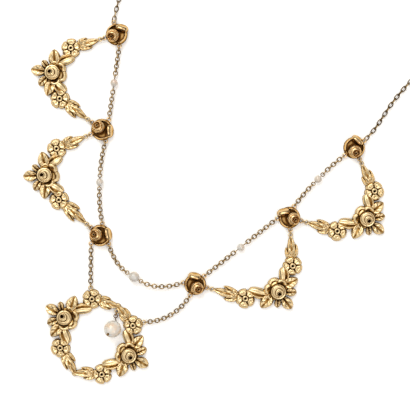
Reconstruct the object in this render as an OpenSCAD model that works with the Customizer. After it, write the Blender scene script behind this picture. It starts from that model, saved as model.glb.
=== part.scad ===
// Festoon necklace, laid flat as worn: the wreath at the front (-Y), the clasp at the back (+Y),
// the flat backs of the castings on the surface z = 0. Sizes in millimetres.

/* [Chain roses] */
// Radius of a chain rose over its outer petals
rose_r = 3.1; // [2.8:0.1:3.5]
// Height of a chain rose's bud above the flat back
rose_h = 3.7; // [3.1:0.1:4.4]
// Radius of the bud
bud_r = 1.85; // [1.5:0.05:2.2]
// How far the bud sits off the middle of its rose
bud_shift = 1.15; // [0.8:0.05:1.4]
// Height of a rose's base plate, under the petals
rose_base_h = 1.3; // [1.2:0.05:1.6]
// Height of the tallest outer petal
rose_petal_h = 2.5; // [1.8:0.1:3]
// Thickness of an outer petal's wall
petal_wall = 0.5; // [0.4:0.05:0.6]

/* [Garland castings] */
// Radius of a five-petal flower
flower_r = 2.65; // [2.3:0.05:2.9]
// Height of the ring in a flower's middle
flower_h = 1.9; // [1.5:0.1:2.4]
// Radius of that ring, over its outside
eye_r = 0.85; // [0.7:0.05:1]
// Radius of the small hollow inside the ring
eye_hole_r = 0.34; // [0.25:0.01:0.45]
// Radius of a garland rose's round core
core_r = 2.05; // [1.7:0.05:2.3]
// Height of that core
core_h = 3.2; // [2.6:0.1:3.8]
// How far a garland rose stands outside the circle of its flowers, or inside it if negative
core_out = -0.1; // [-0.4:0.1:0.8]
// Radius of the petal skirt behind the core
skirt_r = 2.85; // [2.5:0.05:3.2]
// How far the skirt's middle sits inside the core's middle
skirt_shift = 1.2; // [0.8:0.1:1.6]
// Height of the skirt
skirt_h = 1.5; // [1.2:0.1:2]
// Height of a leaf's edge
leaf_edge_h = 0.55; // [0.4:0.05:0.8]
// Height of a leaf along its middle
leaf_h = 1.05; // [0.9:0.05:1.4]
// Length of the middle leaf that points outwards, from the core's middle
out_leaf_l = 6.2; // [5.5:0.1:6.8]
// Length of the two leaves beside it, from the core's middle
side_leaf_l = 5; // [4.4:0.1:5.6]
// Width of the outward leaves
out_leaf_w = 2.5; // [2:0.1:2.9]
// Length of a broad leaf between rose and flower
broad_leaf_l = 4.5; // [4:0.1:5]
// Width of the broad leaf between rose and flower
broad_leaf_w = 2.6; // [2.2:0.1:3]
// Width of the narrow leaf between rose and flower
narrow_leaf_w = 2.1; // [1.7:0.1:2.4]
// Width of a sprig's middle leaf
sprig_leaf_w = 2.2; // [1.8:0.1:2.6]
// Length of a sprig's side leaves
sprig_side_l = 3.3; // [2.8:0.1:3.8]
// Width of a sprig's side leaves
sprig_side_w = 1.6; // [1.2:0.1:2]

/* [Wreath] */
// Radius of the circle through the wreath's four flowers
wreath_r = 10.6; // [9.8:0.1:11.6]

/* [Loops and rings] */
// Mean radius of a soldered loop
loop_r = 0.5; // [0.45:0.01:0.6]
// Wire of a soldered loop
loop_wire = 0.28; // [0.2:0.01:0.32]
// Height of the loops' middle above the surface
loop_z = 1; // [0.95:0.01:1.2]
// Distance between the two loops that a garland ring joins
ring_span = 1.45; // [1.4:0.01:1.6]
// Wire of a garland ring and of the drop's ring
ring_wire = 0.3; // [0.24:0.01:0.32]
// Play left between links, loops and rings where they pull
play = 0.12; // [0.08:0.01:0.14]

/* [Swags and hangers] */
// Length of chain that one link takes up
link_pitch = 1.05; // [0.95:0.01:1.15]
// Wire of a link
link_wire = 0.32; // [0.24:0.01:0.34]
// How far the links in the middle of a run lean out of upright
link_lean = 12; // [0:1:45]
// Wire of the pin through a pearl
pin_d = 0.26; // [0.2:0.01:0.3]
// Bore of a pearl
pearl_bore_d = 0.5; // [0.4:0.01:0.6]
// Bare wire between a pearl and its pin's loops
pin_neck = 0.3; // [0.24:0.01:0.5]

/* [Drop] */
// Width of the drop's pearl
drop_w = 4.8; // [4:0.1:5.4]
// Length of the drop's pearl along its bore
drop_l = 5.1; // [4.6:0.1:5.6]
// How steeply the drop's bore rises towards the free end
drop_tilt = 55; // [40:1:56]
// Direction in which the drop's bore points
drop_bore_turn = -104; // [-120:1:-60]
// Direction in which the drop hangs from the wreath
drop_turn = -76; // [-86:1:-66]
// Radius of the ball on the free end of the drop's pin
drop_ball_r = 0.38; // [0.3:0.01:0.5]

/* [Back chain and clasp] */
// Diameter over the back chain's links
chain_d = 1.3; // [1:0.05:1.5]
// Diameter of the clasp's barrel
clasp_d = 2.6; // [2.2:0.1:3.2]
// Length of the clasp's barrel
clasp_l = 8; // [6:0.5:10]

/* [Hidden] */

// Where everything lies, measured from the middle of the wreath. The part's own origin is then
// moved to the middle of the whole outline by wreath_at.
// Chain roses: x, y, direction of the bud, and +1 or -1 for the side its largest petal turns to.
BUD = 2;
HAND = 3;
roses = [
  [-33.4, 77.8, 232, -1],
  [-25.0, 52.2, 172, -1],
  [-12.0, 25.6, 193, -1],
  [17.9, 25.5, -35, 1],
  [32.9, 54.1, 10, 1],
  [40.2, 79.7, -62, 1]];

// Garlands: x, y and outward direction of the garland's rose, radius of its curve, directions of
// its two flowers from there, and the chain roses that its first and second end hang from.
TURN = 2;
CURVE = 3;
FLOWERS = [4, 5];
HUNG_FROM = [6, 7];
garlands = [
  [-44.5, 60.1, -162, 8.9, -58, 51, 0, 1],
  [-33.4, 33.6, -150, 8.7, -56, 55, 1, 2],
  [39.5, 34.2, -25, 10.4, 47, -54, 4, 3],
  [52.4, 63.5, -13, 9.3, 52, -58, 5, 4]];

// Swags: the two roses, the directions of their loops, how far the chain bows to its left-hand
// side, how far along it the pearl hangs, and the pearl's diameter.
ENDS = [0, 1];
LOOPS = [2, 3];
BOW = 4;
SHARE = 5;
PEARL_D = 6;
swags = [
  [0, 1, -50, 81, 0, 0.5, 2.1],
  [1, 2, -44, 106, -1.2, 0.5, 2.1],
  [2, 3, -17, 199, -4.9, 0.45, 3],
  [3, 4, 70, 211, 0, 0.5, 2.1],
  [4, 5, 95, 245, 0.6, 0.5, 2.1]];

// Hangers: the rose, the direction of its loop, the wreath's flower, and the chain's bow.
HANG_ROSE = 0;
HANG_LOOP = 1;
HANG_FLOWER = 2;
HANG_BOW = 3;
hangers = [
  [2, 250, 0, 0],
  [3, 272, 3, 2]];

// The wreath's two halves: outward direction of the rose, directions of its flowers from there,
// and the points where the halves' sprigs meet, as direction and share of the wreath's radius.
halves = [[176, -52, 48], [-3, -52, 47]];
meetings = [[82, 0.98], [266, 1.13]];

// The back chain's right half, from the rose to the clasp: x from the necklace's axis, and y.
axis_x = 2.8;
chain_route = [[40.2, 87.5], [41.4, 97], [44.2, 107.5], [48, 118.5], [50.6, 130], [50.8, 142],
  [48.6, 153.5], [43.8, 164], [36.4, 173], [27, 180], [16.6, 184.6], [8.4, 185.6]];
chain_steps = 3;
chain_sides = 8;
BACK_ROSE = [5, 0];
BACK_LOOP = [63, 130];
clasp_y = 185.8;

// Faces round a casting's soldered loop and along its wire.
loop_sides = 10;
wire_sides = 5;
// How deep a chain rose's loop sinks into its rim.
loop_sink = 0.2;
// Radius of the solder under a loop, and how far it stands back from the loop's wire.
solder_r = 0.25;
solder_back = 0.1;
// How far a sprig of the wreath runs past the point where it meets the next one, in degrees.
sprig_past = 2;
// Distance from the point where the wreath's sprigs meet to the drop's loop.
drop_loop_out = 1.4;
// Mean radius of the ring that carries the drop.
drop_ring_r = 0.7;
// Distance from the middle of the drop pin's loop to the middle of its pearl, seen from above.
drop_hang = 3.6;
// Height by which round pieces and solder clear the surface, and the ball clears its pearl.
lift = 0.05;
// Steps along a run of chain when its length is measured.
run_steps = 40;
gold = [0.84, 0.68, 0.38];
white = [0.95, 0.93, 0.89];

function polar(r, turn) = [r * cos(turn), r * sin(turn)];
function heading(a, b) = atan2(b.y - a.y, b.x - a.x);
function unit(v) = v / norm(v);
function at_height(p, z) = [p.x, p.y, z];

// Places of the chain roses and their loops.
function rose_at(i) = [roses[i].x, roses[i].y];
function rose_loop(i, turn) = rose_at(i) + polar(rose_r + loop_r - loop_sink, turn);

// Places on a garland: the middle of its curve, its flowers, and for each end the direction in
// which it lies from the rose that it hangs from, its own loop, and its sprig's tip.
function garland_mid(g) = [g.x, g.y] - polar(g[CURVE] + core_out, g[TURN]);
function garland_flower(g, e) = garland_mid(g) + polar(g[CURVE], g[TURN] + g[FLOWERS[e]]);
function garland_side(g, e) = heading(rose_at(g[HUNG_FROM[e]]), garland_flower(g, e));
function garland_loop(g, e) =
  rose_loop(g[HUNG_FROM[e]], garland_side(g, e)) + polar(ring_span, garland_side(g, e));
function garland_tip(g, e) = garland_loop(g, e) + polar(loop_r, garland_side(g, e));

// Places on the wreath: its flowers, the points where its sprigs meet, and its loops.
function wreath_flower_turn(k) = halves[floor(k / 2)][0] + halves[floor(k / 2)][1 + k % 2];
function wreath_flower(k) = polar(wreath_r, wreath_flower_turn(k));
function wreath_tip(m, past) = polar(wreath_r * meetings[m][1], meetings[m][0] + past);
function wreath_meeting(m) = wreath_tip(m, 0);
function wreath_loop(k) = polar(wreath_r + flower_r + loop_r, wreath_flower_turn(k));
drop_loop = wreath_meeting(0) + polar(drop_loop_out, drop_turn);

// The loops of each chain rose, as directions.
function rose_loops(i) = concat(
  [for (s = swags, e = [0, 1]) if (s[ENDS[e]] == i) s[LOOPS[e]]],
  [for (g = garlands, e = [0, 1]) if (g[HUNG_FROM[e]] == i) garland_side(g, e)],
  [for (h = hangers) if (h[HANG_ROSE] == i) h[HANG_LOOP]],
  [for (e = [0, 1]) if (BACK_ROSE[e] == i) BACK_LOOP[e]]);

// The part's origin is under the middle of the outline, from the garlands' outermost leaves and
// from the wreath's foot to the back chain.
left_x = garlands[0].x + polar(out_leaf_l, garlands[0][TURN]).x;
right_x = garlands[3].x + polar(out_leaf_l, garlands[3][TURN]).x;
foot_y = wreath_meeting(1).y - sprig_leaf_w / 2;
top_y = clasp_y + clasp_d / 2;
wreath_at = [-(left_x + right_x) / 2, -(foot_y + top_y) / 2, 0];

// A run of chain from a to b that bows sideways by the vector bow: its points, direction,
// measured length, number of links and the length that one link takes up.
function bowed(a, b, bow, t) = a + (b - a) * t + bow * 4 * t * (1 - t);
function bowed_way(a, b, bow, t) = unit(b - a + bow * 4 * (1 - 2 * t));
function run_step(a, b, bow, k) =
  norm(bowed(a, b, bow, (k + 1) / run_steps) - bowed(a, b, bow, k / run_steps));
function run_table(a, b, bow) = [
  for (k = 0, far = 0; k <= run_steps; far = far + run_step(a, b, bow, k), k = k + 1)
    [far, k / run_steps]];
function run_span(table) = table[run_steps][0] - 2 * (loop_r - loop_wire / 2) + play;
function run_links(table, odd) = odd
  ? 2 * round((run_span(table) / link_pitch - 1) / 2) + 1
  : round(run_span(table) / link_pitch);

// A swag's two ends, its pearl and the loops of the pearl's pin.
function left_of(v) = unit([-v.y, v.x, 0]);
function swag_end(s, e) = at_height(rose_loop(s[ENDS[e]], s[LOOPS[e]]), loop_z);
function swag_bow(s) = left_of(swag_end(s, 1) - swag_end(s, 0)) * s[BOW];
function pearl_z(d) = max(loop_z, d / 2 + lift);
function pearl_at(s) =
  at_height(bowed(swag_end(s, 0), swag_end(s, 1), swag_bow(s), s[SHARE]), pearl_z(s[PEARL_D]));
function pearl_way(s) = bowed_way(swag_end(s, 0), swag_end(s, 1), swag_bow(s), s[SHARE]);
function pin_reach(s) = s[PEARL_D] / 2 + pin_neck + loop_r;
function pin_loop(s, e) = pearl_at(s) + pearl_way(s) * pin_reach(s) * (e == 0 ? -1 : 1);
function half_bow(s, e) = swag_bow(s) * pow(e == 0 ? s[SHARE] : 1 - s[SHARE], 2);
function half_table(s, e) = run_table(swag_end(s, e), pin_loop(s, e), half_bow(s, e));

// A flat-backed relief round the origin: rings[j][k] is the radius and height of ring j in the
// direction k, from the middle outwards, and the last ring is the edge, with a wall down to z = 0.
module relief(middle_z, rings) {
  n = len(rings[0]);
  last = len(rings) - 1;
  function at(j, k, z) = at_height(polar(rings[j][k][0], k * 360 / n), z);
  tops = [for (j = [0:last], k = [0:n - 1]) at(j, k, rings[j][k][1])];
  floors = [for (k = [0:n - 1]) at(last, k, 0)];
  function top(j, k) = 2 + j * n + k % n;
  function floor_at(k) = 2 + (last + 1) * n + k % n;
  caps = [for (k = [0:n - 1]) each [[1, top(0, k + 1), top(0, k)], [0, floor_at(k), floor_at(k + 1)]]];
  bands = [for (j = [0:last - 1], k = [0:n - 1]) each [
    [top(j, k), top(j, k + 1), top(j + 1, k + 1)],
    [top(j, k), top(j + 1, k + 1), top(j + 1, k)]]];
  walls = [for (k = [0:n - 1]) each [
    [top(last, k), top(last, k + 1), floor_at(k + 1)],
    [top(last, k), floor_at(k + 1), floor_at(k)]]];
  polyhedron(concat([[0, 0, 0], [0, 0, middle_z]], tops, floors), concat(caps, bands, walls));
}
function ring_of(n, r, z) = [for (k = [1:n]) [r, z]];

// A cast leaf from the origin along +X, flat behind, with a ridge between two high points along its
// middle. The outline's points are shares of its length and half its width.
LEAF_OUTLINE = [[0, 0.36], [0.26, 0.86], [0.56, 1], [0.82, 0.66]];
RIDGE = [0.24, 0.7];
ridge_foot_r = 0.12;
module leaf(length, width) {
  edge = [for (p = LEAF_OUTLINE) [p[0] * length, p[1] * width / 2]];
  back = [for (k = [len(edge) - 1:-1:0]) [edge[k].x, -edge[k].y]];
  hull() {
    linear_extrude(leaf_edge_h) polygon(concat(edge, [[length, 0]], back));
    for (t = RIDGE) translate([t * length, 0, 0]) cylinder(r1 = ridge_foot_r, r2 = 0, h = leaf_h, $fn = 3);
  }
}

// A five-petal flower with a raised ring, the eye, in the middle. Each petal takes three
// directions, the slit beside it and its two corners, with their shares of radius and height.
// Then come the shares of the radius where a petal is highest, of the eye's radius at its rim and
// foot, and of the height at the eye's foot and floor and at the flower's edge.
PETALS = 5;
PETAL_REACH = [0.84, 1, 1];
PETAL_HEIGHT = [0.45, 0.75, 0.75];
PETAL_BULGE = 0.62;
EYE_RIM = 0.72;
EYE_FOOT = [1.15, 0.45];
EYE_FLOOR = 0.58;
FLOWER_EDGE = 0.38;
module flower() {
  n = PETALS * len(PETAL_REACH);
  rotate(-180 / n) relief(flower_h * EYE_FLOOR, [
    ring_of(n, eye_hole_r, flower_h * EYE_FLOOR),
    ring_of(n, eye_r * EYE_RIM, flower_h),
    ring_of(n, eye_r * EYE_FOOT[0], flower_h * EYE_FOOT[1]),
    [for (k = [0:n - 1]) [flower_r * PETAL_BULGE, flower_h * PETAL_HEIGHT[k % 3]]],
    [for (k = [0:n - 1]) [flower_r * PETAL_REACH[k % 3], flower_h * FLOWER_EDGE]]]);
}

// A garland's rose: a round core of rolled petals on a scalloped skirt that shows behind it.
// Rings of each as shares of its radius and height, from the middle outwards.
CORE_FLOOR = 0.72;
CORE_RINGS = [[0.14, 0.78], [0.3, 1], [0.52, 0.89], [0.66, 0.94]];
core_sides = 12;
core_over_skirt = 0.3;
SKIRT_PETALS = 5;
SKIRT_REACH = [0.88, 1, 1];
SKIRT_RINGS = [[0.6, 0.8], [0.9, 1], [1, 0.6]];
module bloom() {
  relief(core_h * CORE_FLOOR, concat(
    [for (r = CORE_RINGS) ring_of(core_sides, core_r * r[0], core_h * r[1])],
    [ring_of(core_sides, core_r, skirt_h + core_over_skirt)]));
  translate([-skirt_shift, 0]) relief(skirt_h * SKIRT_RINGS[0][1], [
    for (r = SKIRT_RINGS) [for (k = [0:SKIRT_PETALS * 3 - 1])
      [skirt_r * r[0] * SKIRT_REACH[k % 3], skirt_h * r[1]]]]);
}

// The leaves round a garland's rose: one pointing outwards and one on each side of it, then on
// each flower's side a broad leaf turned outwards, and a narrow one that runs onto the flower.
// flowers holds the middles of the two flowers, seen from the rose.
side_leaf_turn = 43;
pair_foot = [-0.4, 2.35];
broad_turn = 75;
narrow_onto = 0.8;
narrow_side = 115;
module bloom_leaves(flowers) {
  leaf(out_leaf_l, out_leaf_w);
  for (f = flowers) {
    s = sign(f.y);
    foot = [pair_foot.x, s * pair_foot.y];
    tip = f + polar(flower_r * narrow_onto, -s * narrow_side);
    rotate(s * side_leaf_turn) leaf(side_leaf_l, out_leaf_w * 0.85);
    translate(foot) {
      rotate(s * broad_turn) leaf(broad_leaf_l, broad_leaf_w);
      rotate(heading(foot, tip)) leaf(norm(tip - foot), narrow_leaf_w);
    }
  }
}

// A sprig of three leaves from under the flower at a to its tip at b.
sprig_side_turn = 22;
sprig_start = 0.72;
module sprig(a, b) {
  foot = a + polar(flower_r * sprig_start, heading(a, b));
  translate(foot) rotate(heading(a, b)) {
    leaf(norm(b - foot), sprig_leaf_w);
    for (s = [-1, 1]) rotate(s * sprig_side_turn) leaf(sprig_side_l, sprig_side_w);
  }
}

// One garland round the middle of its curve: rose, leaves, two flowers, and sprigs to two tips.
module spray(mid, turn, curve, flower_turns, tips) {
  translate(mid) rotate(turn) {
    translate([curve + core_out, 0]) {
      bloom();
      bloom_leaves([for (a = flower_turns) polar(curve, a) - [curve + core_out, 0]]);
    }
    for (a = flower_turns) rotate(a) translate([curve, 0]) flower();
  }
  for (e = [0, 1]) sprig(mid + polar(curve, turn + flower_turns[e]), tips[e]);
}

// A loop soldered to a casting, which it leaves in the direction turn.
module loop(at, turn) {
  translate([at.x, at.y, loop_z]) rotate_extrude($fn = loop_sides)
    translate([loop_r, 0]) circle(d = loop_wire, $fn = wire_sides);
  translate(at_height(at - polar(loop_r + solder_back, turn), lift))
    cylinder(r1 = solder_r * 1.4, r2 = solder_r, h = loop_z + loop_wire / 2 - lift, $fn = 6);
}

// A true round ring or link in the XY plane.
module ring(mean_r, wire) {
  rotate_extrude($fn = 48) translate([mean_r, 0]) circle(d = wire, $fn = 24);
}

// Children turned from +X to the direction way, at the point at.
module along(at, way) {
  translate(at) rotate([0, -asin(way.z), atan2(way.y, way.x)]) children();
}

// Round wire between two points.
module wire(a, b, d) {
  along(a, unit(b - a)) rotate([0, 90, 0]) cylinder(d = d, h = norm(b - a), $fn = 24);
}

// A chain rose. Its outer petals stand round the rim, with a deep gap between them and the bud:
// direction from the bud, sweep in degrees, thickness in petal walls, share of the full height.
OUTER_PETALS = [[148, 84, 2.4, 1], [-114, 116, 1.5, 0.85], [66, 90, 1, 0.75], [-24, 92, 1, 0.7]];
rose_sides = 24;
petal_gap_share = 0.5;
thin_petal = 0.8;
// Across a petal's wall: share of the wall's thickness in from the edge, and of the height.
PETAL_WALL = [[1, 0.85], [0.5, 1], [0, 0.72]];
petal_foot = 1.25;
// How much the rim draws in where it is low.
rim_draw = 0.1;
bud_sides = 16;
bud_foot_z = 0.4;
BUD_FLOOR = 0.67;
BUD_RINGS = [[0.2, 0.73], [0.38, 1], [0.56, 0.86], [0.72, 0.92]];
BUD_SHOULDER = 0.5;
function petal_off(p, turn) = ((turn - p[0] + 540) % 360 - 180) / (p[1] / 2);
function petal_swell(turn, column, least) = max([for (p = OUTER_PETALS)
  let(u = petal_off(p, turn)) abs(u) < 1 ? least + (p[column] - least) * (1 - pow(u, 4)) : least]);
module rose_petals() {
  turns = [for (k = [0:rose_sides - 1]) k * 360 / rose_sides];
  walls = [for (a = turns) petal_wall * petal_swell(a, 2, thin_petal)];
  tops = [for (a = turns) rose_petal_h * petal_swell(a, 3, petal_gap_share)];
  reach = [for (z = tops) rose_r * (1 - rim_draw * (1 - z / rose_petal_h))];
  relief(rose_base_h, concat(
    [[for (k = [0:rose_sides - 1]) [reach[k] - walls[k] * petal_foot, rose_base_h]]],
    [for (p = PETAL_WALL) [for (k = [0:rose_sides - 1]) [reach[k] - walls[k] * p[0], tops[k] * p[1]]]]));
}
module bud() {
  top = rose_h - bud_foot_z;
  translate([bud_shift, 0, bud_foot_z]) relief(top * BUD_FLOOR, concat(
    [for (r = BUD_RINGS) ring_of(bud_sides, bud_r * r[0], top * r[1])],
    [ring_of(bud_sides, bud_r, rose_h * BUD_SHOULDER)]));
}
module rose(i) {
  r = roses[i];
  color(gold) translate(wreath_at) {
    translate(rose_at(i)) rotate(r[BUD]) mirror([0, r[HAND] < 0 ? 1 : 0, 0]) {
      rose_petals();
      bud();
    }
    for (turn = rose_loops(i)) translate(at_height(rose_loop(i, turn), loop_z)) ring(loop_r, loop_wire);
  }
}

module garland(i) {
  g = garlands[i];
  color(gold) translate(wreath_at) {
    spray(garland_mid(g), g[TURN], g[CURVE], [for (f = FLOWERS) g[f]],
      [for (e = [0, 1]) garland_tip(g, e)]);
    for (e = [0, 1]) loop(garland_loop(g, e), garland_side(g, e) + 180);
  }
}

// The wreath: two garlands whose sprigs are soldered together, with a loop on two flowers for
// the hangers and one at the upper meeting point for the drop.
meeting_solder_r = 0.7;
module wreath() {
  color(gold) translate(wreath_at) {
    for (k = [0, 1]) spray([0, 0], halves[k][0], wreath_r, [halves[k][1], halves[k][2]],
      [wreath_tip(k, -sprig_past), wreath_tip(1 - k, sprig_past)]);
    for (m = [0, 1])
      translate(at_height(wreath_meeting(m), lift)) cylinder(r = meeting_solder_r, h = leaf_h, $fn = 8);
    for (h = hangers) loop(wreath_loop(h[HANG_FLOWER]), wreath_flower_turn(h[HANG_FLOWER]));
    loop(drop_loop, drop_turn);
  }
}

// Links along a run. They stand and lie in turn, and lean over together towards the middle.
// Between pulled links, and links and loops, the play is left, so a link's size follows.
module run(a, b, bow, odd) {
  table = run_table(a, b, bow);
  n = run_links(table, odd);
  pitch = run_span(table) / n;
  first = loop_r - loop_wire / 2 + (pitch - play) / 2;
  for (i = [0:n - 1]) {
    t = lookup(first + i * pitch, table);
    along(bowed(a, b, bow, t), bowed_way(a, b, bow, t))
      rotate([(i % 2 == 0 ? 90 : 0) + link_lean * sin(180 * (i + 0.5) / n), 0, 0])
        ring((pitch + link_wire + play) / 2, link_wire);
  }
}

module swag(i) {
  s = swags[i];
  color(gold) translate(wreath_at)
    for (e = [0, 1]) run(swag_end(s, e), pin_loop(s, e), half_bow(s, e), false);
}

// The pin through a swag's pearl. Each end's loop lies across the last link of its run.
module pearl_pin(i) {
  s = swags[i];
  color(gold) translate(wreath_at) {
    wire(pin_loop(s, 0) + pearl_way(s) * loop_r, pin_loop(s, 1) - pearl_way(s) * loop_r, pin_d);
    for (e = [0, 1]) along(pin_loop(s, e), pearl_way(s))
      rotate([run_links(half_table(s, e), false) % 2 == 0 ? 90 : 0, 0, 0]) ring(loop_r, loop_wire);
  }
}

// A drilled pearl about +Z: a half outline from one mouth of the bore round to the other.
module drilled_pearl(width, length, steps) {
  mouth = acos(pearl_bore_d / width);
  half = [for (a = [-steps:steps])
    [width / 2 * cos(mouth * a / steps), length / 2 * sin(mouth * a / steps)]];
  rotate_extrude($fn = 64) polygon(half);
}

module pearl(i) {
  s = swags[i];
  color(white) translate(wreath_at) along(pearl_at(s), pearl_way(s))
    rotate([0, 90, 0]) drilled_pearl(s[PEARL_D], s[PEARL_D], 6);
}

module hanger(i) {
  h = hangers[i];
  a = at_height(rose_loop(h[HANG_ROSE], h[HANG_LOOP]), loop_z);
  b = at_height(wreath_loop(h[HANG_FLOWER]), loop_z);
  color(gold) translate(wreath_at) run(a, b, left_of(b - a) * h[HANG_BOW], true);
}

// The upright ring between a rose's loop and a garland's loop.
module garland_ring(i) {
  g = garlands[floor(i / 2)];
  e = i % 2;
  middle = garland_loop(g, e) - polar(ring_span / 2, garland_side(g, e));
  color(gold) translate(wreath_at) translate(at_height(middle, loop_z))
    rotate([90, 0, garland_side(g, e)]) ring(ring_span / 2, ring_wire);
}

// The drop: a ring, a pin that bends down and then rises through the pearl, and the pearl.
drop_pin_loop = at_height(drop_loop + polar(2 * drop_ring_r, drop_turn), loop_z);
drop_half_h = norm([drop_l / 2 * sin(drop_tilt), drop_w / 2 * cos(drop_tilt)]);
drop_at = at_height(drop_pin_loop + at_height(polar(drop_hang, drop_turn), 0), drop_half_h + lift);
drop_way = at_height(polar(cos(drop_tilt), drop_bore_turn), sin(drop_tilt));
module drop_ring() {
  color(gold) translate(wreath_at)
    translate(at_height(drop_loop + polar(drop_ring_r, drop_turn), loop_z))
      rotate([90, 0, drop_turn]) ring(drop_ring_r, ring_wire);
}
module drop_pin() {
  bend = drop_at - drop_way * (drop_l / 2 + pin_neck);
  ball = drop_at + drop_way * (drop_l / 2 + lift + drop_ball_r);
  color(gold) translate(wreath_at) {
    wire(bend, ball, pin_d);
    wire(drop_pin_loop + at_height(polar(loop_r, drop_turn), 0), bend, pin_d);
    translate(bend) sphere(d = pin_d * 1.1, $fn = 24);
    translate(ball) sphere(r = drop_ball_r, $fn = 32);
    translate(drop_pin_loop) ring(loop_r, loop_wire);
  }
}
module drop_pearl() {
  color(white) translate(wreath_at) along(drop_at, drop_way)
    rotate([0, 90, 0]) drilled_pearl(drop_w, drop_l, 8);
}

// The back chain's outer form, a tube through the route's points from the rose's loop to the
// clasp's loop, smoothed between them.
clasp_z = clasp_d / 2;
clasp_loop_x = clasp_l / 2 + loop_r;
loop_clear = loop_r + loop_wire / 2 + 2 * play;
function chain_points(e) = let(side = e == 0 ? 1 : -1, z = chain_d / 2) concat(
  [at_height(rose_loop(BACK_ROSE[e], BACK_LOOP[e]) + polar(loop_clear, BACK_LOOP[e]), loop_z)],
  [for (p = chain_route) [axis_x + side * p.x, p.y, z]],
  [[axis_x + side * (clasp_loop_x + loop_clear), clasp_y, clasp_z]]);
function between(p, k, t) =
  let(a = p[max(k - 1, 0)], b = p[k], c = p[k + 1], d = p[min(k + 2, len(p) - 1)])
  (2 * b + (c - a) * t + (2 * a - 5 * b + 4 * c - d) * t * t
    + (3 * b - a - 3 * c + d) * t * t * t) / 2;
function smoothed(p) = concat(
  [for (k = [0:len(p) - 2], j = [0:chain_steps - 1]) between(p, k, j / chain_steps)],
  [p[len(p) - 1]]);
module tube(path, d, sides) {
  n = len(path);
  ways = [for (k = [0:n - 1]) unit(path[min(k + 1, n - 1)] - path[max(k - 1, 0)])];
  points = [for (k = [0:n - 1], j = [0:sides - 1])
    let(across = unit(cross([0, 0, 1], ways[k])), up = cross(ways[k], across), a = j * 360 / sides)
    path[k] + d / 2 * (cos(a) * across + sin(a) * up)];
  bands = [for (k = [0:n - 2], j = [0:sides - 1])
    let(a = k * sides + j, b = k * sides + (j + 1) % sides)
    each [[a, b, b + sides], [a, b + sides, a + sides]]];
  ends = [[for (j = [sides - 1:-1:0]) j], [for (j = [0:sides - 1]) (n - 1) * sides + j]];
  polyhedron(points, concat(bands, ends));
}
module back_chain(e) {
  path = [for (p = smoothed(chain_points(e))) at_height(p, max(p.z, chain_d / 2))];
  color(gold) translate(wreath_at) tube(path, chain_d, chain_sides);
}

// The clasp: one plain barrel with a loop at each end.
module clasp() {
  r = clasp_d / 2;
  color(gold) translate(wreath_at) translate([axis_x, clasp_y, clasp_z]) {
    rotate([0, 90, 0]) rotate_extrude($fn = 48) polygon([
      [0, -clasp_l / 2], [r * 0.6, -clasp_l / 2], [r, -clasp_l / 2 + r],
      [r, clasp_l / 2 - r], [r * 0.6, clasp_l / 2], [0, clasp_l / 2]]);
    for (s = [-1, 1]) translate([s * clasp_loop_x, 0, 0]) ring(loop_r, loop_wire);
  }
}

for (i = [0:5]) rose(i);
for (i = [0:3]) garland(i);
wreath();
for (i = [0:4]) swag(i);
for (i = [0:4]) pearl(i);
for (i = [0:4]) pearl_pin(i);
for (i = [0:1]) hanger(i);
for (i = [0:7]) garland_ring(i);
drop_ring();
drop_pin();
drop_pearl();
for (i = [0:1]) back_chain(i);
clasp();
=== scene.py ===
"""A gold festoon necklace, laid flat on a pale board: chain roses, flower garlands, a flower wreath
with a pearl drop, swags of fine chain with small pearls, and the back chain with its clasp.

Every shape is worked out in millimetres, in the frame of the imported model, and turned to metres
when its mesh is made. A skin is a closed surface: rings of points, shaped (rings, points, 3),
either closed by a pole at each end or running round into themselves. Directions are in degrees.
"""
import math
from collections import namedtuple

import bpy
import numpy as np
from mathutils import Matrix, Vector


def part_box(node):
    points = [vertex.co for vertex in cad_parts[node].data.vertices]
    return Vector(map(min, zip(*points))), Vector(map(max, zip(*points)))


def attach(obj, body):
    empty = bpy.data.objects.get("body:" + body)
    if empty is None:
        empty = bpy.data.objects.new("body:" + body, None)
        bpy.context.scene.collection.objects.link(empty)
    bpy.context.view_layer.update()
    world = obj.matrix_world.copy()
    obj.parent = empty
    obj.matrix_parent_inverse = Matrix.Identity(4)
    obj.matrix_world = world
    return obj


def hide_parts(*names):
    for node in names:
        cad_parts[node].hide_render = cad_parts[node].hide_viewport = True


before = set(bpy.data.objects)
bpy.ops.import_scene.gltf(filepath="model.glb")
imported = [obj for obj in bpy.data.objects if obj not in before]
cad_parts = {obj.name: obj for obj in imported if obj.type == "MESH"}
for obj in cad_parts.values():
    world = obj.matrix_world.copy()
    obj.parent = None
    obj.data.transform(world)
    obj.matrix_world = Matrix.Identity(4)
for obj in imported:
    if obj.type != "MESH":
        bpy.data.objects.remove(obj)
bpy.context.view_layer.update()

MM = 0.001
BODY = "root"

# Camera: the middle of the view, in metres, its width and its turn.

VIEW_MIDDLE = np.array([5.68, -39.40, 0]) * MM
VIEW_WIDTH = 114.8
VIEW_TURN = 27.0
LENS = 120.0
SENSOR = 36.0
NEAR_CLIP = 10


def place_camera():
    """Straight down over the middle of the view, turned so the necklace hangs as photographed."""
    data = bpy.data.cameras.new("camera")
    data.lens = LENS
    data.sensor_width = SENSOR
    data.clip_start = NEAR_CLIP * MM
    camera = bpy.data.objects.new("camera", data)
    height = VIEW_WIDTH * LENS / SENSOR
    camera.location = VIEW_MIDDLE + (0, 0, height * MM)
    camera.rotation_euler = (0, 0, math.radians(VIEW_TURN))
    bpy.context.scene.collection.objects.link(camera)
    bpy.context.scene.camera = camera


place_camera()

# Layout: where everything lies, measured from the middle of the wreath, as in the solids.

CLASP_AT = (2.8, 185.8)
clasp_low, clasp_high = (np.array(corner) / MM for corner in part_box("clasp"))
WREATH_AT = (clasp_low + clasp_high)[:2] / 2 - CLASP_AT

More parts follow.
